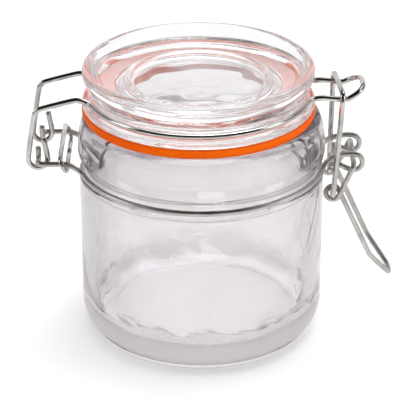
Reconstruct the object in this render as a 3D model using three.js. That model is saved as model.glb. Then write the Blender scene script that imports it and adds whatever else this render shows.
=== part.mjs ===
// Clip-top preserving jar, about 125 ml: a glass jar and a glass lid with a rubber sealing ring,
// held by five bent wires: lid wire, neck wire, keeper link, catch and lever.
// Millimetres, +Z up. The origin is the middle of the jar's flat underside. The hinge is at -X and
// the latch at +X. Each wire is the same on both sides of the plane Y = 0.
import * as THREE from 'three';

// Glass jar
const BODY_R = 35.4;
const FOOT_R = 29.6;
const HEEL_H = 9.2;
const BODY_TOP_Z = 49.0;
const GROOVE_R = 34.25;
const BEAD_R = 35.7;
const BEAD_Z = 57.2;
const LIP_R = 33.8;
const LIP_TOP_Z = 67.65;
const MOUTH_R = 29.0;
const INNER_R = 31.3;
const FLOOR_Z = 5.2;
const INNER_CORNER_R = 10.5;
const INNER_SHOULDER_LOW_Z = 47.0;
const INNER_SHOULDER_TOP_Z = 56.0;

// Glass lid and sealing ring. Closed, they sit a little towards the hinge.
const LID_SHIFT = -0.8;
const SEAL_GAP = 0.3;
const SEAL_T = 2.4;
const SEAL_IN_R = 25.5;
const SEAL_OUT_R = 33.4;
const LID_BOTTOM_Z = LIP_TOP_Z + SEAL_T + 2 * SEAL_GAP;
const FLANGE_R = 33.2;
const WAIST_R = 31.0;
const RIM_R = 33.1;
const RIM_TOP_Z = 82.6;
const PLATE_TOP_Z = 78.0;
const PLATE_BOTTOM_Z = 73.2;
const COLLAR_R = 25.2;
const COLLAR_IN_R = 22.4;
const COLLAR_BOTTOM_Z = LIP_TOP_Z - 0.15;
const TOP_RING_R = 19.8;
const DISH_R = 28.4;
const DISH_Z = 80.3;

// Wire, and the bends that turn it
const WIRE_R = 0.8;
const WIRE_SIDES = 8;
const TIGHT_BEND = 1.25;
const BEND_STEP = Math.PI / 8;
const RING_STEP = Math.PI / 20;
const GROOVE_BEND = 3.0;
const LATHE_SEGMENTS = 48;

// Hinge side: the lid wire's hooks hang on the inward ends of the neck wire
const HINGE_X = -46.5;
const HINGE_Z = 56.0;
const HOOK_R = 2.85;
const HOOK_LIFT = HOOK_R - 2 * WIRE_R - 0.35;
const NECK_STRAND_Y = 11.2;
const HOOK_Y = 9.25;
const STUB_Y = 7.3;

// Latch side: lever eyes of the neck wire, lever rings, catch
const EYE_X = 43.55;
const EYE_Z = 54.6;
const EYE_R = 2.6;
const EYE_Y = 6.6;
const RING_X = 37.7;
const RING_Z = 45.6;
const RING_R = 1.95;
const ARM_Y = 9.1;
const HANDLE_Y = 7.35;
const CATCH_LOW_Y = 11.0;
const CATCH_TOP_Y = 8.9;
const CATCH_TOP_X = 39.0;
const CATCH_TOP_Z = 76.4;
const CATCH_SKEW = 0.1;

// Wires lying in the grooves of the lid and of the neck
const LID_WIRE_R = 32.1;
const LID_WIRE_Z = 74.0;
const NECK_WIRE_R = 35.4;
const NECK_WIRE_Z = 52.4;
const LID_STRAND_Y = 9.8;
const NOSE_Y = 6.5;

// Keeper link round the neck wire's two hinge strands
const LINK_X = -39.2;
const LINK_Z = 56.0;
const LINK_HALF_LENGTH = 13.15;
const LINK_END_R = 2.1;
const LINK_TILT = THREE.MathUtils.degToRad(24);
const LINK_SEAM = 0.3;

const STEEL_BRIGHT = { color: 0xb9b9b4, roughness: 0.22, metalness: 1 };
const STEEL_DULL = { color: 0xa8a7a2, roughness: 0.34, metalness: 1 };
const GLASS = { color: 0xeceaec, roughness: 0.03, metalness: 0 };
const ORANGE_RUBBER = { color: 0xe85a06, roughness: 0.55, metalness: 0 };

const v3 = (x, y, z) => new THREE.Vector3(x, y, z);
const v2 = (x, y) => new THREE.Vector2(x, y);

// Points of an elliptic arc round (cx, cy), both ends included; angles in degrees.
function arc2(cx, cy, rx, ry, from, to, steps) {
  const points = [];
  for (let i = 0; i <= steps; i += 1) {
    const a = THREE.MathUtils.degToRad(from + ((to - from) * i) / steps);
    points.push(v2(cx + rx * Math.cos(a), cy + ry * Math.sin(a)));
  }
  return points;
}

// A smooth S from one radius and height to another, without its first point.
function ease2(from, to, steps) {
  const points = [];
  for (let i = 1; i <= steps; i += 1) {
    const t = i / steps;
    const s = (1 - Math.cos(Math.PI * t)) / 2;
    points.push(v2(from.x + (to.x - from.x) * s, from.y + (to.y - from.y) * t));
  }
  return points;
}

function jarProfile() {
  const lipRound = 1.3;
  const neckInner = v2(MOUTH_R, INNER_SHOULDER_TOP_Z);
  return [
    v2(0, 0),
    ...arc2(FOOT_R, HEEL_H, BODY_R - FOOT_R, HEEL_H, -90, 0, 7),
    v2(BODY_R, BODY_TOP_Z - 0.4),
    v2(BODY_R - 0.3, BODY_TOP_Z + 0.6),
    v2(GROOVE_R + 0.2, BODY_TOP_Z + 1.5),
    v2(GROOVE_R, BODY_TOP_Z + 2.2),
    v2(GROOVE_R, NECK_WIRE_Z + 1.2),
    v2(GROOVE_R + 0.3, NECK_WIRE_Z + 2.0),
    v2(BEAD_R - 0.5, BEAD_Z - 1.9),
    v2(BEAD_R - 0.1, BEAD_Z - 1.1),
    v2(BEAD_R, BEAD_Z),
    v2(BEAD_R - 0.15, BEAD_Z + 2.8),
    v2(BEAD_R - 0.65, BEAD_Z + 6.2),
    v2(LIP_R, LIP_TOP_Z - 1.5),
    ...arc2(LIP_R - lipRound - 0.2, LIP_TOP_Z - lipRound, lipRound, lipRound, 20, 90, 3),
    ...arc2(MOUTH_R + lipRound, LIP_TOP_Z - lipRound, lipRound, lipRound, 90, 180, 3),
    neckInner,
    ...ease2(neckInner, v2(INNER_R, INNER_SHOULDER_LOW_Z), 5),
    ...arc2(INNER_R - INNER_CORNER_R, FLOOR_Z + INNER_CORNER_R, INNER_CORNER_R, INNER_CORNER_R,
      0, -90, 7),
    v2(0, FLOOR_Z + 0.5),
  ];
}

function lidProfile() {
  const flangeRound = 0.8;
  const crownRound = 1.9;
  const crown = v2(RIM_R - crownRound, RIM_TOP_Z - crownRound);
  return [
    v2(0, PLATE_BOTTOM_Z),
    v2(COLLAR_IN_R - 2.4, PLATE_BOTTOM_Z - 0.2),
    v2(COLLAR_IN_R - 0.6, PLATE_BOTTOM_Z - 1.0),
    v2(COLLAR_IN_R, PLATE_BOTTOM_Z - 2.6),
    v2(COLLAR_IN_R + 0.2, COLLAR_BOTTOM_Z + 0.6),
    v2(COLLAR_IN_R + 0.8, COLLAR_BOTTOM_Z),
    v2(COLLAR_R - 0.6, COLLAR_BOTTOM_Z),
    v2(COLLAR_R, COLLAR_BOTTOM_Z + 0.6),
    v2(COLLAR_R, LID_BOTTOM_Z),
    ...arc2(FLANGE_R - flangeRound, LID_BOTTOM_Z + flangeRound, flangeRound, flangeRound,
      -90, 0, 3),
    v2(FLANGE_R, LID_BOTTOM_Z + 1.3),
    v2(FLANGE_R - 0.5, LID_BOTTOM_Z + 1.9),
    v2(WAIST_R, LID_BOTTOM_Z + 2.3),
    v2(WAIST_R, LID_WIRE_Z + 1.2),
    v2(WAIST_R + 0.5, LID_WIRE_Z + 2.4),
    v2(RIM_R - 0.5, LID_WIRE_Z + 4.6),
    ...arc2(crown.x, crown.y, crownRound, crownRound, -15, 90, 5),
    v2(crown.x - 1.0, RIM_TOP_Z - 0.5),
    v2(crown.x - 1.8, RIM_TOP_Z - 1.6),
    v2(DISH_R, DISH_Z),
    v2(TOP_RING_R + 3.4, PLATE_TOP_Z + 0.6),
    v2(TOP_RING_R + 0.9, PLATE_TOP_Z + 0.1),
    v2(TOP_RING_R + 0.3, PLATE_TOP_Z + 0.5),
    v2(TOP_RING_R - 0.3, PLATE_TOP_Z + 0.5),
    v2(TOP_RING_R - 1.1, PLATE_TOP_Z - 0.4),
    v2(0, PLATE_TOP_Z - 0.6),
  ];
}

function sealProfile() {
  const low = LIP_TOP_Z + SEAL_GAP;
  const high = low + SEAL_T;
  const chamfer = 0.4;
  return [
    v2(SEAL_IN_R, low),
    v2(SEAL_OUT_R - chamfer, low),
    v2(SEAL_OUT_R, low + chamfer),
    v2(SEAL_OUT_R, high - chamfer),
    v2(SEAL_OUT_R - chamfer, high),
    v2(SEAL_IN_R, high),
    v2(SEAL_IN_R, low),
  ];
}

// A wire's centre line: exactly the given points, one cross-section at each.
class WirePath extends THREE.Curve {
  constructor(points) {
    super();
    this.points = points;
  }

  getPoint(t, target = new THREE.Vector3()) {
    const last = this.points.length - 1;
    const i = Math.min(Math.floor(t * last + 1e-9), last - 1);
    return target.lerpVectors(this.points[i], this.points[i + 1], t * last - i);
  }

  getPointAt(u, target) {
    return this.getPoint(u, target);
  }

  getTangentAt(u, target = new THREE.Vector3()) {
    const last = this.points.length - 1;
    const i = Math.round(u * last);
    const before = this.points[Math.max(i - 1, 0)];
    const here = this.points[i];
    const after = this.points[Math.min(i + 1, last)];
    const inward = here.clone().sub(before).normalize();
    const outward = after.clone().sub(here).normalize();
    return target.copy(inward).add(outward).normalize();
  }
}

function wireGeometry(points) {
  const section = new THREE.Shape();
  for (let i = 0; i < WIRE_SIDES; i += 1) {
    const a = ((i + 0.5) * 2 * Math.PI) / WIRE_SIDES;
    const [x, y] = [WIRE_R * Math.cos(a), WIRE_R * Math.sin(a)];
    if (i === 0) section.moveTo(x, y);
    else section.lineTo(x, y);
  }
  return new THREE.ExtrudeGeometry(section, {
    steps: points.length - 1,
    bevelEnabled: false,
    extrudePath: new WirePath(points),
  });
}

// The route through the given stations, each { at, bend }: straight runs joined by round bends.
function bentRoute(stations) {
  const out = [stations[0].at.clone()];
  for (let i = 1; i < stations.length - 1; i += 1) {
    const { at, bend } = stations[i];
    const inward = at.clone().sub(stations[i - 1].at).normalize();
    const outward = stations[i + 1].at.clone().sub(at).normalize();
    const turn = inward.angleTo(outward);
    const axis = inward.clone().cross(outward).normalize();
    const start = at.clone().addScaledVector(inward, -bend * Math.tan(turn / 2));
    const centre = start.clone().addScaledVector(axis.clone().cross(inward), bend);
    const steps = Math.max(1, Math.ceil(turn / BEND_STEP));
    for (let k = 0; k <= steps; k += 1) {
      const spoke = start.clone().sub(centre).applyAxisAngle(axis, (turn * k) / steps);
      out.push(centre.clone().add(spoke));
    }
  }
  out.push(stations[stations.length - 1].at.clone());
  return out;
}

// An arc in the plane of constant Y, angles in degrees from +X towards +Z; Y eases from y0 to y1.
function sideArc(cx, cz, r, from, to, y0, y1) {
  const sweep = THREE.MathUtils.degToRad(to - from);
  const steps = Math.ceil(Math.abs(sweep) / BEND_STEP);
  const points = [];
  for (let i = 0; i <= steps; i += 1) {
    const a = THREE.MathUtils.degToRad(from) + (sweep * i) / steps;
    points.push(v3(cx + r * Math.cos(a), y0 + ((y1 - y0) * i) / steps, cz + r * Math.sin(a)));
  }
  return points;
}

// From a strand at +y on the hinge side, round the groove's circle, to a strand at +y on the latch
// side. Each strand meets the circle through a bend that turns away from it. The wire lies in the
// groove at height z, and has climbed to its strand's height at the strand's end of the bend.
function grooveRun(centreX, ringR, z, hinge, latch) {
  const bendCentre = (side, y) => {
    const cy = y + GROOVE_BEND;
    return v2(side * Math.sqrt((ringR + GROOVE_BEND) ** 2 - cy * cy), cy);
  };
  const entry = bendCentre(-1, hinge.y);
  const exit = bendCentre(1, latch.y);
  const entryTurn = Math.PI / 2 - Math.atan2(entry.y, -entry.x);
  const exitTurn = Math.PI / 2 - Math.atan2(exit.y, exit.x);
  const points = [];
  const bendSteps = 4;
  for (let i = 0; i <= bendSteps; i += 1) {
    const a = -Math.PI / 2 + (entryTurn * i) / bendSteps;
    points.push(v3(centreX + entry.x + GROOVE_BEND * Math.cos(a),
      entry.y + GROOVE_BEND * Math.sin(a), hinge.z + ((z - hinge.z) * i) / bendSteps));
  }
  const start = Math.PI - Math.atan2(entry.y, -entry.x);
  const end = Math.atan2(exit.y, exit.x);
  const ringSteps = Math.ceil((start - end) / RING_STEP);
  for (let i = 1; i < ringSteps; i += 1) {
    const a = start + ((end - start) * i) / ringSteps;
    points.push(v3(centreX + ringR * Math.cos(a), ringR * Math.sin(a), z));
  }
  for (let i = 0; i <= bendSteps; i += 1) {
    const a = -Math.PI / 2 - (exitTurn * (bendSteps - i)) / bendSteps;
    points.push(v3(centreX + exit.x + GROOVE_BEND * Math.cos(a),
      exit.y + GROOVE_BEND * Math.sin(a), z + ((latch.z - z) * i) / bendSteps));
  }
  return points;
}

// The whole wire from its +Y half, whose last point is on the plane of symmetry.
function mirrored(half) {
  const other = half.slice(0, -1).reverse().map((p) => v3(p.x, -p.y, p.z));
  return [...half, ...other];
}

const station = (x, y, z, bend) => ({ at: v3(x, y, z), bend });

// Joins lists of points, dropping repeats at the joints.
function joined(...runs) {
  const out = [];
  for (const p of runs.flat()) {
    if (!out.length || out[out.length - 1].distanceTo(p) > 0.05) out.push(p);
  }
  return out;
}

function lidWire() {
  const hookZ = HINGE_Z + HOOK_LIFT;
  const legAngle = 9.1;
  const returnAngle = 9.8;
  const hook = sideArc(HINGE_X, hookZ, HOOK_R, returnAngle, -180 - legAngle, HOOK_Y, HOOK_Y);
  const legTop = v3(HINGE_X - 0.4, LID_STRAND_Y, 72.2);
  const grooveEntry = { y: LID_STRAND_Y, z: LID_WIRE_Z + 0.9 };
  const grooveExit = { y: NOSE_Y, z: LID_WIRE_Z + 0.4 };
  const groove = grooveRun(LID_SHIFT, LID_WIRE_R, LID_WIRE_Z, grooveEntry, grooveExit);
  const leg = bentRoute([
    { at: hook[hook.length - 1] },
    { at: legTop, bend: 3 },
    station(-35.2, LID_STRAND_Y, 75.3, 4),
    { at: groove[0] },
  ]);
  const nose = bentRoute([
    { at: groove[groove.length - 1] },
    station(34.6, NOSE_Y, 74.5, 3),
    station(40.9, NOSE_Y, 73.9, 1.6),
    station(45.9, NOSE_Y, 76.6, 4.7),
    station(45.9, 0, 76.6),
  ]);
  const returnTop = v3(HINGE_X + 1.8, HOOK_Y, 63.3);
  return mirrored(joined([returnTop], hook, leg, groove, nose));
}

function neckWire() {
  const grooveEntry = { y: NECK_STRAND_Y, z: NECK_WIRE_Z + 2.2 };
  const grooveExit = { y: EYE_Y, z: NECK_WIRE_Z + 3.6 };
  const groove = grooveRun(0, NECK_WIRE_R, NECK_WIRE_Z, grooveEntry, grooveExit);
  const hinge = bentRoute([
    station(HINGE_X, STUB_Y, HINGE_Z + 3.6),
    station(HINGE_X, STUB_Y, HINGE_Z, TIGHT_BEND),
    station(HINGE_X, NECK_STRAND_Y, HINGE_Z, TIGHT_BEND),
    station(-38.0, NECK_STRAND_Y, HINGE_Z, 2),
    { at: groove[0] },
  ]);
  const eye = sideArc(EYE_X, EYE_Z, EYE_R, 96, -118, EYE_Y, EYE_Y);
  const bridge = bentRoute([
    { at: eye[eye.length - 1] },
    station(38.5, EYE_Y, 54.35, TIGHT_BEND),
    station(38.5, 0, 54.35),
  ]);
  return mirrored(joined(hinge, groove, [v3(40.3, EYE_Y, 57.0)], eye, bridge));
}

function leverWire() {
  const axleGap = 0.4;
  const centre = v3(RING_X, 0, RING_Z);
  const toEye = Math.atan2(EYE_Z - RING_Z, EYE_X - RING_X);
  const eyeDistance = Math.hypot(EYE_X - RING_X, EYE_Z - RING_Z);
  const armTouch = toEye - Math.acos(RING_R / eyeDistance);
  const elbow = v3(49.1, HANDLE_Y, 24.9);
  const toElbow = Math.atan2(elbow.z - centre.z, elbow.x - centre.x);
  const elbowDistance = Math.hypot(elbow.x - centre.x, elbow.z - centre.z);
  const handleTouch = toElbow + Math.acos(RING_R / elbowDistance);
  const deg = THREE.MathUtils.radToDeg;
  const ring = sideArc(RING_X, RING_Z, RING_R, deg(armTouch), deg(handleTouch) - 360, ARM_Y,
    HANDLE_Y);
  const arm = bentRoute([
    station(EYE_X, axleGap, EYE_Z),
    station(EYE_X, ARM_Y, EYE_Z, TIGHT_BEND),
    { at: ring[0] },
  ]);
  const handle = bentRoute([
    { at: ring[ring.length - 1] },
    { at: elbow, bend: 6 },
    station(55.5, 2.5, 16.5, 1.7),
    station(55.5, 0, 16.5),
  ]);
  return mirrored(joined(arm, ring, handle));
}

// The catch hangs loosely, so its top bar lies a little askew over the nose loop.
function catchWire() {
  const endY = HANDLE_Y - WIRE_R - 0.4;
  const route = mirrored(bentRoute([
    station(RING_X, endY, RING_Z),
    station(RING_X, CATCH_LOW_Y, RING_Z, TIGHT_BEND),
    station(CATCH_TOP_X, CATCH_TOP_Y, CATCH_TOP_Z, 2.6),
    station(CATCH_TOP_X, 0, CATCH_TOP_Z),
  ]));
  for (const p of route) {
    p.x -= (CATCH_SKEW * p.y * (p.z - RING_Z)) / (CATCH_TOP_Z - RING_Z);
  }
  return route;
}

// The link's route in its own plane: Y along it, Z across it. Its seam is under the middle.
function keeperLink() {
  const straight = LINK_HALF_LENGTH - LINK_END_R;
  const end = (side) => {
    const points = [];
    const steps = 8;
    for (let i = 0; i <= steps; i += 1) {
      const a = -Math.PI / 2 + (Math.PI * i) / steps;
      points.push(v3(0, side * (straight + LINK_END_R * Math.cos(a)),
        side * LINK_END_R * Math.sin(a)));
    }
    return points;
  };
  return joined(
    [v3(0, LINK_SEAM / 2, -LINK_END_R)],
    end(1),
    end(-1),
    [v3(0, -LINK_SEAM / 2, -LINK_END_R)],
  );
}

function piece(name, geometry, look) {
  const mesh = new THREE.Mesh(geometry, new THREE.MeshStandardMaterial(look));
  mesh.name = name;
  return mesh;
}

function turned(name, profile, look) {
  const mesh = piece(name, new THREE.LatheGeometry(profile, LATHE_SEGMENTS), look);
  mesh.rotation.x = Math.PI / 2;
  return mesh;
}

const jar = turned('jar_glass', jarProfile(), GLASS);
const neckWireMesh = piece('neck_wire', wireGeometry(neckWire()), STEEL_DULL);

const lid = turned('lid_glass', lidProfile(), GLASS);
lid.position.x = LID_SHIFT;
const seal = turned('sealing_ring', sealProfile(), ORANGE_RUBBER);
seal.position.x = LID_SHIFT;
const lidWireMesh = piece('lid_wire', wireGeometry(lidWire()), STEEL_BRIGHT);

const link = piece('keeper_link', wireGeometry(keeperLink()), STEEL_BRIGHT);
link.position.set(LINK_X, 0, LINK_Z);
link.rotation.y = -LINK_TILT;

const lever = piece('lever_wire', wireGeometry(leverWire()), STEEL_DULL);
const catchMesh = piece('catch_wire', wireGeometry(catchWire()), STEEL_BRIGHT);

const assembly = new THREE.Group();
assembly.add(jar, neckWireMesh, link);
assembly.add(lid, seal, lidWireMesh);
assembly.add(lever, catchMesh);

export default assembly;
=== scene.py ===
"""A small clip-top preserving jar: thick clear glass, an orange seal and bent wire.

Metres, in the CAD model's frame: +Z up, the hinge at -X and the latch at +X.
"""
import math

import bmesh
import bpy
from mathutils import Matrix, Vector


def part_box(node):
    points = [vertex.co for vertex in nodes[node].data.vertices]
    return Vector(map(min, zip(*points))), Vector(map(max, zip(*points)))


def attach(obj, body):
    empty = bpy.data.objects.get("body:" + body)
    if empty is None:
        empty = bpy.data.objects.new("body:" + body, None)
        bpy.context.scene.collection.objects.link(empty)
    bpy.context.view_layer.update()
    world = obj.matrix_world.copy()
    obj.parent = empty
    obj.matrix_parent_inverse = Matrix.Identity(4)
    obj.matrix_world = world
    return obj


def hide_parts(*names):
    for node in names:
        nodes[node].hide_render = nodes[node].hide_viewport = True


MM = 0.001
SPIN_STEPS = 192
CURVE_STEPS = 7

# How the blown glass strays from round, in mm and radians.
OUTER_SURFACE_R = 33.9
MOUTH_WALL_R = 31.6
BASE_FLAT_R = 12.0
BASE_FADE_WIDTH = 10.0
SEAM_ANGLES = (math.radians(46), math.radians(226))
SEAM_HEIGHT = 0.07
SEAM_REACH = 0.02
HEEL_Z = 10.5
HEEL_REACH = 4.5
CREASE_Z = 11.8
CREASE_REACH = 1.8
CREASE_DEPTH = 0.20
FRONT_ANGLE = math.radians(270)
HOLLOW_ANGLE_REACH = 0.30
HOLLOW_Z = 55.5
HOLLOW_REACH = 1.3
HOLLOW_DEPTH = 0.45

# Waves round the glass: (size, number round, phase, twist for each mm of height).
LOW_WAVES = ((1.0, 3, 0.6, 0.0), (0.8, 5, 0.0, 0.16))
HIGH_WAVES = ((1.0, 9, 1.3, 0.35), (0.7, 14, 0.0, -0.5))
CRINKLES = ((1.0, 17, 0.4, 0.0), (1.0, 27, 0.0, 1.0))
SQUARE_SIDES = 4
SQUARE_PHASE = 0.5

# How strong each is in mm: everywhere, and added at the heel. The square is at the heel only.
LOW_SIZE = (0.07, 0.22)
HIGH_SIZE = (0.012, 0.40)
SQUARE_SIZE = 0.35

# Pieces that touch overlap by this much, so that no film of air is left to mirror the light.
CONTACT = 0.02
LID_UNDERSIDE = 70.66
SEAL_TOP = LID_UNDERSIDE + CONTACT
# Where the seal's painted light starts: the top from this height, and the bore between these radii, in mm.
SEAL_PALE_Z = 70.62
SEAL_PALE_BORE_R = (25.7, 25.9)

# Smoothing shrinks a wire, and this grows it again. The link stays thin to clear the strands.
WIRE_GROWTH = 0.075 * MM
LINK_GROWTH = -0.03 * MM
WIRE_SUBDIVISIONS = 2
WIRE_END_CREASE = 0.9
WIRE_END_ANGLE = math.radians(60)
WIRE_FLAT_ANGLE = math.radians(20)

# Two points closer than this are one, and so is a ring of this radius.
SAME_POINT = 1e-6

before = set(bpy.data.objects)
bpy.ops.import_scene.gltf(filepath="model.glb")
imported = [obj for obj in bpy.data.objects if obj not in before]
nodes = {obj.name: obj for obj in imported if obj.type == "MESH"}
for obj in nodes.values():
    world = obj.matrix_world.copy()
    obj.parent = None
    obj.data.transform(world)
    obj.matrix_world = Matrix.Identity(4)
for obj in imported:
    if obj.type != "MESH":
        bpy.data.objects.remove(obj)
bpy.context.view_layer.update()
scene = bpy.context.scene


# ---------------------------------------------------------------- materials

# Noise scales: a patch is about 1 / scale metres across.
GLASS_PATCHES = 60.0
WIRE_TONES = 180.0
WIRE_DULL_PATCHES = 420.0
WIRE_SCRATCHES = 900.0
RUBBER_TONES = 90.0
RUBBER_PALE_TONES = 45.0
RUBBER_SHEEN = 300.0
RUBBER_GRAIN = 1200.0
FLOOR_TONES = 40.0

GLASS_IOR = 1.5
GLASS_DEPTH_COLOUR = (0.52, 0.48, 0.51, 1.0)
WIRE_SCRATCH_DEPTH = 0.012 * MM
RUBBER_GRAIN_DEPTH = 0.02 * MM
RUBBER_GLOSS = 0.06
# How softly the seal's painted light fades in at its top.
SEAL_PALE_FADE = 0.1 * MM


def new_material(name):
    material = bpy.data.materials.new(name)
    material.use_nodes = True
    tree = material.node_tree
    shader = tree.nodes["Principled BSDF"]
    return material, tree, shader


def add_node(tree, kind, **inputs):
    node = tree.nodes.new(kind)
    for name, value in inputs.items():
        node.inputs[name.replace("_", " ")].default_value = value
    return node


def object_noise(tree, scale, detail=3.0, stretch=(1, 1, 1), distortion=0.0):
    """A noise texture on object coordinates, stretched by the given factors."""
    coords = tree.nodes.new("ShaderNodeTexCoord")
    mapping = add_node(tree, "ShaderNodeMapping", Scale=stretch)
    noise = add_node(tree, "ShaderNodeTexNoise", Scale=scale, Detail=detail,
                     Distortion=distortion)
    tree.links.new(coords.outputs["Object"], mapping.inputs["Vector"])
    tree.links.new(mapping.outputs["Vector"], noise.inputs["Vector"])
    return noise.outputs["Fac"]


def ramp(tree, source, stops):
    """Stops are (position, colour) with colours as grey values or RGB triples."""
    node = tree.nodes.new("ShaderNodeValToRGB")
    elements = node.color_ramp.elements
    while len(elements) < len(stops):
        elements.new(0.5)
    for element, (position, colour) in zip(elements, stops):
        element.position = position
        rgb = colour if isinstance(colour, tuple) else (colour,) * 3
        element.color = (*rgb, 1.0)
    tree.links.new(source, node.inputs["Fac"])
    return node.outputs["Color"]


def plain_grey(tree, level):
    node = tree.nodes.new("ShaderNodeRGB")
    node.outputs["Color"].default_value = (level, level, level, 1.0)
    return node.outputs["Color"]


def combined(tree, operation, first, second):
    """The result of a maths operation on two sockets."""
    node = tree.nodes.new("ShaderNodeMath")
    node.operation = operation
    tree.links.new(first, node.inputs[0])
    tree.links.new(second, node.inputs[1])
    return node.outputs["Value"]


def multiplied(tree, first, second):
    return combined(tree, "MULTIPLY", first, second)


def squared_radius(tree, x, y):
    """The square of the distance from the Z axis."""
    return combined(tree, "ADD", multiplied(tree, x, x), multiplied(tree, y, y))


def mapped(tree, source, low, high, low_value, high_value):
    """The source's range from low to high, turned into low_value to high_value and held there."""
    node = add_node(tree, "ShaderNodeMapRange", From_Min=low, From_Max=high, To_Min=low_value,
                    To_Max=high_value)
    tree.links.new(source, node.inputs["Value"])
    return node.outputs["Result"]


def blended(tree, factor, low, high):
    """The low colour where the factor is 0 and the high one where it is 1."""
    node = tree.nodes.new("ShaderNodeMix")
    node.data_type = "RGBA"
    tree.links.new(factor, node.inputs["Factor"])
    tree.links.new(low, node.inputs["A"])
    tree.links.new(high, node.inputs["B"])
    return node.outputs["Result"]


def split_axes(tree, output):
    """The X, Y and Z sockets of a texture coordinate."""
    coords = tree.nodes.new("ShaderNodeTexCoord")
    split = tree.nodes.new("ShaderNodeSeparateXYZ")
    tree.links.new(coords.outputs[output], split.inputs["Vector"])
    return split.outputs["X"], split.outputs["Y"], split.outputs["Z"]


def add_bump(tree, shader, source, distance):
    bump = add_node(tree, "ShaderNodeBump", Strength=1.0, Distance=distance)
    tree.links.new(source, bump.inputs["Height"])
    tree.links.new(bump.outputs["Normal"], shader.inputs["Normal"])


def glass_material(name, waviness, wave_scale, tint_low, tint_high, depth_density):
    """Soda glass: a lilac tint that deepens with thickness, waves, a little handling haze."""
    material, tree, shader = new_material(name)
    shader.inputs["Transmission Weight"].default_value = 1.0
    shader.inputs["IOR"].default_value = GLASS_IOR
    tint = ramp(tree, object_noise(tree, GLASS_PATCHES, distortion=2.5),
                [(0.4, tint_low), (0.6, tint_high)])
    tree.links.new(tint, shader.inputs["Base Color"])
    haze = ramp(tree, object_noise(tree, GLASS_PATCHES, detail=5.0), [(0.45, 0.0), (0.8, 0.035)])
    tree.links.new(haze, shader.inputs["Roughness"])
    add_bump(tree, shader, object_noise(tree, wave_scale, detail=1.0), waviness)
    depth = add_node(tree, "ShaderNodeVolumeAbsorption", Color=GLASS_DEPTH_COLOUR,
                     Density=depth_density)
    output = tree.nodes["Material Output"]
    tree.links.new(depth.outputs["Volume"], output.inputs["Volume"])
    return material


def wire_material(name, dark, light, rough_low, rough_high):
    """Drawn wire: tone varies along it, with fine scratches and duller patches."""
    material, tree, shader = new_material(name)
    shader.inputs["Metallic"].default_value = 1.0
    tone = ramp(tree, object_noise(tree, WIRE_TONES, detail=4.0), [(0.35, dark), (0.65, light)])
    tree.links.new(tone, shader.inputs["Base Color"])
    rough = ramp(tree, object_noise(tree, WIRE_DULL_PATCHES, detail=4.0),
                 [(0.35, rough_low), (0.7, rough_high)])
    tree.links.new(rough, shader.inputs["Roughness"])
    scratches = object_noise(tree, WIRE_SCRATCHES, detail=3.0, stretch=(1, 1, 0.25))
    add_bump(tree, shader, scratches, WIRE_SCRATCH_DEPTH)
    return material


def rubber_material():
    """Orange sealing rubber, with painted light: its top and its bore are painted paler, standing in for
    light that reaches them through the glass.

    The bore's edge is measured from the jar's axis, which is 0.8 mm off the ring's own.
    """
    material, tree, shader = new_material("orange_rubber")
    colour = ramp(tree, object_noise(tree, RUBBER_TONES, detail=4.0),
                  [(0.35, (0.92, 0.105, 0.001)), (0.65, (1.0, 0.150, 0.002))])
    # The paler colour is painted light on the seal's top and bore.
    painted_light_colour = ramp(tree, object_noise(tree, RUBBER_PALE_TONES, detail=2.0),
                   [(0.35, (0.99, 0.58, 0.54)), (0.65, (1.0, 0.71, 0.67))])
    x, y, z = split_axes(tree, "Object")
    pale_z = SEAL_PALE_Z * MM
    top = mapped(tree, z, pale_z - SEAL_PALE_FADE, pale_z, 0.0, 1.0)
    from_middle = squared_radius(tree, x, y)
    bore_r, body_r = SEAL_PALE_BORE_R
    bore = mapped(tree, from_middle, (bore_r * MM) ** 2, (body_r * MM) ** 2, 1.0, 0.0)
    # The painted light covers the top above SEAL_PALE_Z and the bore inside SEAL_PALE_BORE_R.
    painted_light_mask = combined(tree, "MAXIMUM", top, bore)
    tree.links.new(blended(tree, painted_light_mask, colour, painted_light_colour), shader.inputs["Base Color"])
    shader.inputs["Specular IOR Level"].default_value = RUBBER_GLOSS
    rough = ramp(tree, object_noise(tree, RUBBER_SHEEN, detail=4.0), [(0.3, 0.38), (0.7, 0.55)])
    tree.links.new(rough, shader.inputs["Roughness"])
    add_bump(tree, shader, object_noise(tree, RUBBER_GRAIN, detail=2.0), RUBBER_GRAIN_DEPTH)
    return material


JAR_GLASS = glass_material("blown_glass", waviness=0.18 * MM, wave_scale=70.0,
                           tint_low=(0.950, 0.932, 0.946), tint_high=(0.975, 0.962, 0.970),
                           depth_density=48.0)
LID_GLASS = glass_material("pressed_glass", waviness=1.1 * MM, wave_scale=55.0,
                           tint_low=(0.965, 0.955, 0.962), tint_high=(0.995, 0.990, 0.993),
                           depth_density=6.0)
BRIGHT_WIRE = wire_material("bright_wire", dark=(0.50, 0.485, 0.465), light=(0.74, 0.725, 0.70),
                            rough_low=0.06, rough_high=0.18)
DULL_WIRE = wire_material("dull_wire", dark=(0.54, 0.525, 0.50), light=(0.70, 0.685, 0.66),
                          rough_low=0.34, rough_high=0.50)
RUBBER = rubber_material()


# ---------------------------------------------------------------- turned glass and rubber

def smoothed(points):
    """A Catmull-Rom curve through (radius, height, corner) points. Corners stay sharp."""
    out = []
    count = len(points)
    for i in range(count - 1):
        p1, p2 = Vector(points[i][:2]), Vector(points[i + 1][:2])
        p0 = Vector(points[i - 1][:2]) if i > 0 and not points[i][2] else p1
        p3 = Vector(points[i + 2][:2]) if i + 2 < count and not points[i + 1][2] else p2
        for k in range(CURVE_STEPS):
            t = k / CURVE_STEPS
            a = 2 * p1 + (p2 - p0) * t
            b = (2 * p0 - 5 * p1 + 4 * p2 - p3) * t ** 2
            c = (3 * p1 - p0 - 3 * p2 + p3) * t ** 3
            out.append((a + b + c) / 2)
    out.append(Vector(points[-1][:2]))
    return out


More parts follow.
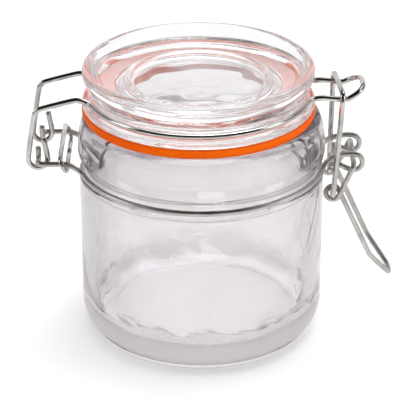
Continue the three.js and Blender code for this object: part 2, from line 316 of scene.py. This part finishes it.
def bell(distance, reach):
    """1 in the middle, fading to almost nothing two reaches away."""
    return math.exp(-(distance / reach) ** 2)


def waves(kinds, angle, height):
    return sum(size * math.sin(number * angle + phase + twist * height)
               for size, number, phase, twist in kinds)


def glass_stray(angle, radius, height):
    """How far blown glass strays from round: mould seams outside, waves and a hollow inside."""
    if radius > OUTER_SURFACE_R:
        seam = min(abs(angle - side) for side in SEAM_ANGLES)
        return SEAM_HEIGHT * bell(seam, SEAM_REACH)
    if radius > MOUTH_WALL_R or radius < BASE_FLAT_R:
        return 0.0
    heel = bell(height - HEEL_Z, HEEL_REACH)
    low = (LOW_SIZE[0] + LOW_SIZE[1] * heel) * waves(LOW_WAVES, angle, height)
    high = (HIGH_SIZE[0] + HIGH_SIZE[1] * heel) * waves(HIGH_WAVES, angle, height)
    square = SQUARE_SIZE * heel * math.cos(SQUARE_SIDES * angle + SQUARE_PHASE)
    fade = min(1.0, (radius - BASE_FLAT_R) / BASE_FADE_WIDTH)
    crease = bell(height - CREASE_Z, CREASE_REACH) * waves(CRINKLES, angle, height)
    hollow = bell(angle - FRONT_ANGLE, HOLLOW_ANGLE_REACH) * bell(height - HOLLOW_Z, HOLLOW_REACH)
    return fade * (low + high - square) + CREASE_DEPTH * crease + HOLLOW_DEPTH * hollow


def turned(name, points, material, centre_x=0.0, closed=False, wobble=None):
    """A body of revolution from a profile in mm, with an optional stray from round."""
    curve = smoothed([(p[0], p[1], len(p) > 2) for p in points])
    if closed:
        curve = curve[:-1]
    mesh = bmesh.new()
    rings = []
    for p in curve:
        if p.x < SAME_POINT:
            rings.append([mesh.verts.new((centre_x * MM, 0, p.y * MM))])
            continue
        ring = []
        for k in range(SPIN_STEPS):
            a = 2 * math.pi * k / SPIN_STEPS
            r = p.x + (wobble(a, p.x, p.y) if wobble else 0.0)
            ring.append(mesh.verts.new(((centre_x + r * math.cos(a)) * MM,
                                        r * math.sin(a) * MM, p.y * MM)))
        rings.append(ring)
    pairs = list(zip(rings, rings[1:]))
    if closed:
        pairs.append((rings[-1], rings[0]))
    for low, high in pairs:
        for k in range(SPIN_STEPS):
            n = (k + 1) % SPIN_STEPS
            corners = [low[k % len(low)], low[n % len(low)],
                       high[n % len(high)], high[k % len(high)]]
            face = mesh.faces.new(list(dict.fromkeys(corners)))
            face.smooth = True
    return finish_mesh(name, mesh, material)


def finish_mesh(name, mesh, material):
    bmesh.ops.recalc_face_normals(mesh, faces=mesh.faces)
    data = bpy.data.meshes.new(name)
    mesh.to_mesh(data)
    mesh.free()
    data.materials.append(material)
    made = bpy.data.objects.new(name, data)
    scene.collection.objects.link(made)
    return made


# Profiles in mm: (radius, height), with True where the corner is sharp.
JAR_PROFILE = [
    (0, 0.0), (20, 0.0), (29.6, 0.0, True), (30.9, 0.35), (32.6, 1.5), (33.3, 2.9), (33.7, 3.4),
    (34.6, 5.2), (35.2, 7.4), (35.38, 9.6), (35.4, 14.0), (35.4, 32.0), (35.4, 48.0),
    (35.3, 49.8), (34.95, 50.6), (34.4, 51.1), (34.22, 51.7), (34.25, 53.4), (34.5, 54.4),
    (35.25, 55.6), (35.62, 56.5), (35.68, 57.8), (35.5, 60.2), (35.0, 63.6), (34.3, 65.8), (33.6, 66.8),
    (32.6, 67.45), (31.6, 67.64), (30.3, 67.64), (29.4, 67.3), (29.0, 66.4), (28.95, 64.5),
    (28.95, 59.5), (29.1, 56.0), (29.6, 53.3), (30.5, 50.4), (31.15, 48.0), (31.3, 45.5),
    (31.3, 32.0), (31.3, 17.0), (31.2, 14.2), (30.7, 12.2), (29.4, 10.6), (27.0, 8.5),
    (23.6, 6.6), (20.0, 5.7), (12.0, 5.3), (0, 5.5),
]
LID_PROFILE = [
    (0, 73.2), (14, 73.2), (19.8, 73.0), (21.5, 72.2), (22.3, 70.8), (22.5, 69.2), (22.8, 68.1),
    (23.6, 67.55), (24.5, 67.6), (25.05, 68.3), (25.2, 69.6), (25.25, LID_UNDERSIDE, True),
    (29.0, LID_UNDERSIDE), (32.6, LID_UNDERSIDE), (33.05, 70.8), (33.18, 71.2), (33.15, 72.0), (32.6, 72.5),
    (31.6, 72.9), (31.05, 73.6), (31.02, 74.9), (31.35, 76.0), (32.2, 77.6), (32.9, 79.3), (33.08, 80.9),
    (32.6, 82.0), (31.4, 82.55), (30.4, 82.2), (29.6, 81.2), (28.4, 80.35), (26.0, 79.5),
    (23.2, 78.6), (21.2, 78.1), (20.5, 78.2), (20.1, 78.5), (19.7, 78.5), (19.3, 78.2),
    (18.6, 77.6), (16.5, 77.4), (0, 77.3),
]
SEAL_PROFILE = [
    (25.6, 67.9), (29.0, 67.7), (32.6, 67.85), (33.25, 68.3), (33.38, 69.15), (33.3, 69.9),
    (32.9, 70.2), (30.6, 70.35), (29.8, SEAL_TOP), (26.2, SEAL_TOP), (25.6, 70.3), (25.5, 69.15),
    (25.6, 67.9),
]
lid_low, lid_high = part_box("lid_glass")
lid_centre = (lid_low.x + lid_high.x) / 2 / MM

jar = turned("jar_body", JAR_PROFILE, JAR_GLASS, wobble=glass_stray)
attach(jar, "jar")
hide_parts("jar_glass")

lid = turned("lid_disc", LID_PROFILE, LID_GLASS, centre_x=lid_centre)
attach(lid, "lid")
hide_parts("lid_glass")

seal = turned("rubber_seal", SEAL_PROFILE, RUBBER, centre_x=lid_centre, closed=True)
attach(seal, "lid")
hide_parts("sealing_ring")


# ---------------------------------------------------------------- wires

def round_wire(name, node, body, material, growth_size=WIRE_GROWTH):
    """A smooth round wire along the CAD node's octagonal one, with cut ends."""
    mesh = bmesh.new()
    mesh.from_mesh(nodes[node].data)
    bmesh.ops.remove_doubles(mesh, verts=mesh.verts, dist=SAME_POINT)
    bmesh.ops.join_triangles(mesh, faces=mesh.faces, angle_face_threshold=WIRE_FLAT_ANGLE,
                             angle_shape_threshold=math.pi)
    made = finish_mesh(name, mesh, material)
    for polygon in made.data.polygons:
        polygon.use_smooth = True
    crease = made.data.attributes.new("crease_edge", "FLOAT", "EDGE")
    edge_faces = {}
    for polygon in made.data.polygons:
        for key in polygon.edge_keys:
            edge_faces.setdefault(key, []).append(polygon.normal)
    for edge in made.data.edges:
        faces = edge_faces[edge.key]
        if len(faces) == 2 and faces[0].angle(faces[1]) > WIRE_END_ANGLE:
            crease.data[edge.index].value = WIRE_END_CREASE
    subdivision = made.modifiers.new("round", "SUBSURF")
    subdivision.levels = WIRE_SUBDIVISIONS
    subdivision.render_levels = WIRE_SUBDIVISIONS
    growth = made.modifiers.new("growth", "DISPLACE")
    growth.mid_level = 0.0
    growth.strength = growth_size
    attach(made, body)
    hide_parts(node)


round_wire("neck_bail", "neck_wire", "jar", DULL_WIRE)
round_wire("strand_link", "keeper_link", "link", BRIGHT_WIRE, LINK_GROWTH)
round_wire("lid_bail", "lid_wire", "lid", BRIGHT_WIRE)
round_wire("lift_lever", "lever_wire", "lever", DULL_WIRE)
round_wire("top_catch", "catch_wire", "catch", BRIGHT_WIRE)


# ---------------------------------------------------------------- stage, light and camera

# The floor's glow, with places in metres. All but the camera see painted light: a glowing pool under the
# jar and a strip that brightens towards the back.
FLOOR_HALF = 3.0
POOL_R = (0.033, 0.040)
POOL_GLOW = 0.85
STRIP_X = (0.032, 0.065)
STRIP_Y = (-0.10, -0.05)
STRIP_GLOW = (0.05, 0.25)
EVEN_GLOW = 0.38


def make_floor():
    """A white table. It glows evenly where seen directly, and with painted light in a pool and strip
    everywhere else.
    """
    material, tree, shader = new_material("pale_floor")
    shader.inputs["Roughness"].default_value = 0.9
    shader.inputs["Specular IOR Level"].default_value = 0.1
    shader.inputs["Emission Color"].default_value = (1.0, 1.0, 1.0, 1.0)
    x, y, _ = split_axes(tree, "Object")
    pool = mapped(tree, squared_radius(tree, x, y), POOL_R[0] ** 2, POOL_R[1] ** 2, POOL_GLOW, 0.0)
    beside = mapped(tree, multiplied(tree, x, x), STRIP_X[0] ** 2, STRIP_X[1] ** 2, 1.0, 0.0)
    behind = mapped(tree, y, *STRIP_Y, *STRIP_GLOW)
    rays = tree.nodes.new("ShaderNodeLightPath")
    direct = mapped(tree, rays.outputs["Is Camera Ray"], 0.0, 1.0, 0.0, EVEN_GLOW)
    indirect = mapped(tree, rays.outputs["Is Camera Ray"], 0.0, 1.0, 1.0, 0.0)
    glow = combined(tree, "MAXIMUM", multiplied(tree, beside, behind), pool)
    glow = combined(tree, "ADD", multiplied(tree, glow, indirect), direct)
    tree.links.new(glow, shader.inputs["Emission Strength"])
    shade = ramp(tree, object_noise(tree, FLOOR_TONES), [(0.3, 0.61), (0.7, 0.63)])
    tree.links.new(shade, shader.inputs["Base Color"])
    mesh = bmesh.new()
    corners = [(-1, -1), (1, -1), (1, 1), (-1, 1)]
    mesh.faces.new([mesh.verts.new((right * FLOOR_HALF, back * FLOOR_HALF, 0.0))
                    for right, back in corners])
    floor = finish_mesh("floor", mesh, material)
    floor.location.z = CONTACT * MM


def soft_box(name, place, target, size, power, reflected=True):
    """A rectangular lamp in metres and watts, aimed at a target, and seen in reflections or not."""
    light = bpy.data.lights.new(name, "AREA")
    light.shape = "RECTANGLE"
    light.size, light.size_y = size
    light.energy = power
    lamp = bpy.data.objects.new(name, light)
    lamp.location = place
    lamp.rotation_euler = (Vector(target) - Vector(place)).to_track_quat("-Z", "Y").to_euler()
    lamp.visible_glossy = reflected
    scene.collection.objects.link(lamp)


# The studio's light, as the level from a direction whose Z is the first number.
REFLECTED_LEVELS = [(0.0, 0.95), (0.38, 0.95), (0.60, 0.05), (1.0, 0.03)]
REFRACTED_Z = (0.38, 0.75)
REFRACTED_LEVELS = (0.95, 1.5)
DIFFUSED_LEVEL = 0.9
BACKDROP_LEVEL = 0.92

# How it fades to the sides, by the square of X, and towards the front, by Y.
SIDE_X_SQUARED = (0.15, 0.55)
SIDE_LEVELS = (1.0, 0.40)
FRONT_Y = (-0.5, 0.2)
FRONT_LEVELS = (0.10, 1.0)


def studio_world():
    """An even backdrop where seen directly. Elsewhere a bright sweep behind, darker at the sides
    and front, with its own levels for reflected, refracted and diffuse light."""
    world = bpy.data.worlds.new("studio")
    world.use_nodes = True
    tree = world.node_tree
    x, y, z = split_axes(tree, "Generated")
    reflected = ramp(tree, z, REFLECTED_LEVELS)
    refracted = mapped(tree, z, *REFRACTED_Z, *REFRACTED_LEVELS)
    rays = tree.nodes.new("ShaderNodeLightPath")
    glossy = blended(tree, rays.outputs["Is Transmission Ray"], reflected, refracted)
    height = blended(tree, rays.outputs["Is Glossy Ray"], plain_grey(tree, DIFFUSED_LEVEL), glossy)
    sides = mapped(tree, multiplied(tree, x, x), *SIDE_X_SQUARED, *SIDE_LEVELS)
    front = mapped(tree, y, *FRONT_Y, *FRONT_LEVELS)
    level = multiplied(tree, multiplied(tree, height, sides), front)
    backdrop = plain_grey(tree, BACKDROP_LEVEL)
    level = blended(tree, rays.outputs["Is Camera Ray"], level, backdrop)
    tree.links.new(level, tree.nodes["Background"].inputs["Color"])
    scene.world = world


make_floor()
soft_box("overhead", (0.15, 0.10, 1.00), (0, 0, 0), (0.9, 0.9), 8.2, reflected=False)
soft_box("front", (0.25, -1.10, 0.50), (0, 0, 0.05), (0.8, 0.5), 5.2, reflected=False)
soft_box("key_back_right", (0.30, 0.30, 0.70), (0, 0, 0.03), (0.45, 0.45), 0.9)
soft_box("side_left", (-0.75, -0.10, 0.45), (0, 0, 0.04), (0.30, 0.5), 1.2)
soft_box("side_right", (0.80, -0.15, 0.40), (0, 0, 0.04), (0.30, 0.5), 1.2)
studio_world()
scene.view_settings.view_transform = "Standard"
scene.cycles.max_bounces = 24
scene.cycles.glossy_bounces = 16
scene.cycles.transmission_bounces = 24

CAMERA_ELEVATION = math.radians(26.643)
CAMERA_DISTANCE = 591.1 * MM
CAMERA_TARGET = Vector((1.881, 0.0, 36.51)) * MM
SENSOR_WIDTH = 36.0
LENS = 174.4

camera_data = bpy.data.cameras.new("camera")
camera_data.sensor_width = SENSOR_WIDTH
camera_data.lens = LENS
camera = bpy.data.objects.new("camera", camera_data)
back = Vector((0.0, -math.cos(CAMERA_ELEVATION), math.sin(CAMERA_ELEVATION)))
camera.location = CAMERA_TARGET + back * CAMERA_DISTANCE
camera.rotation_euler = (math.pi / 2 - CAMERA_ELEVATION, 0.0, 0.0)
scene.collection.objects.link(camera)
scene.camera = camera
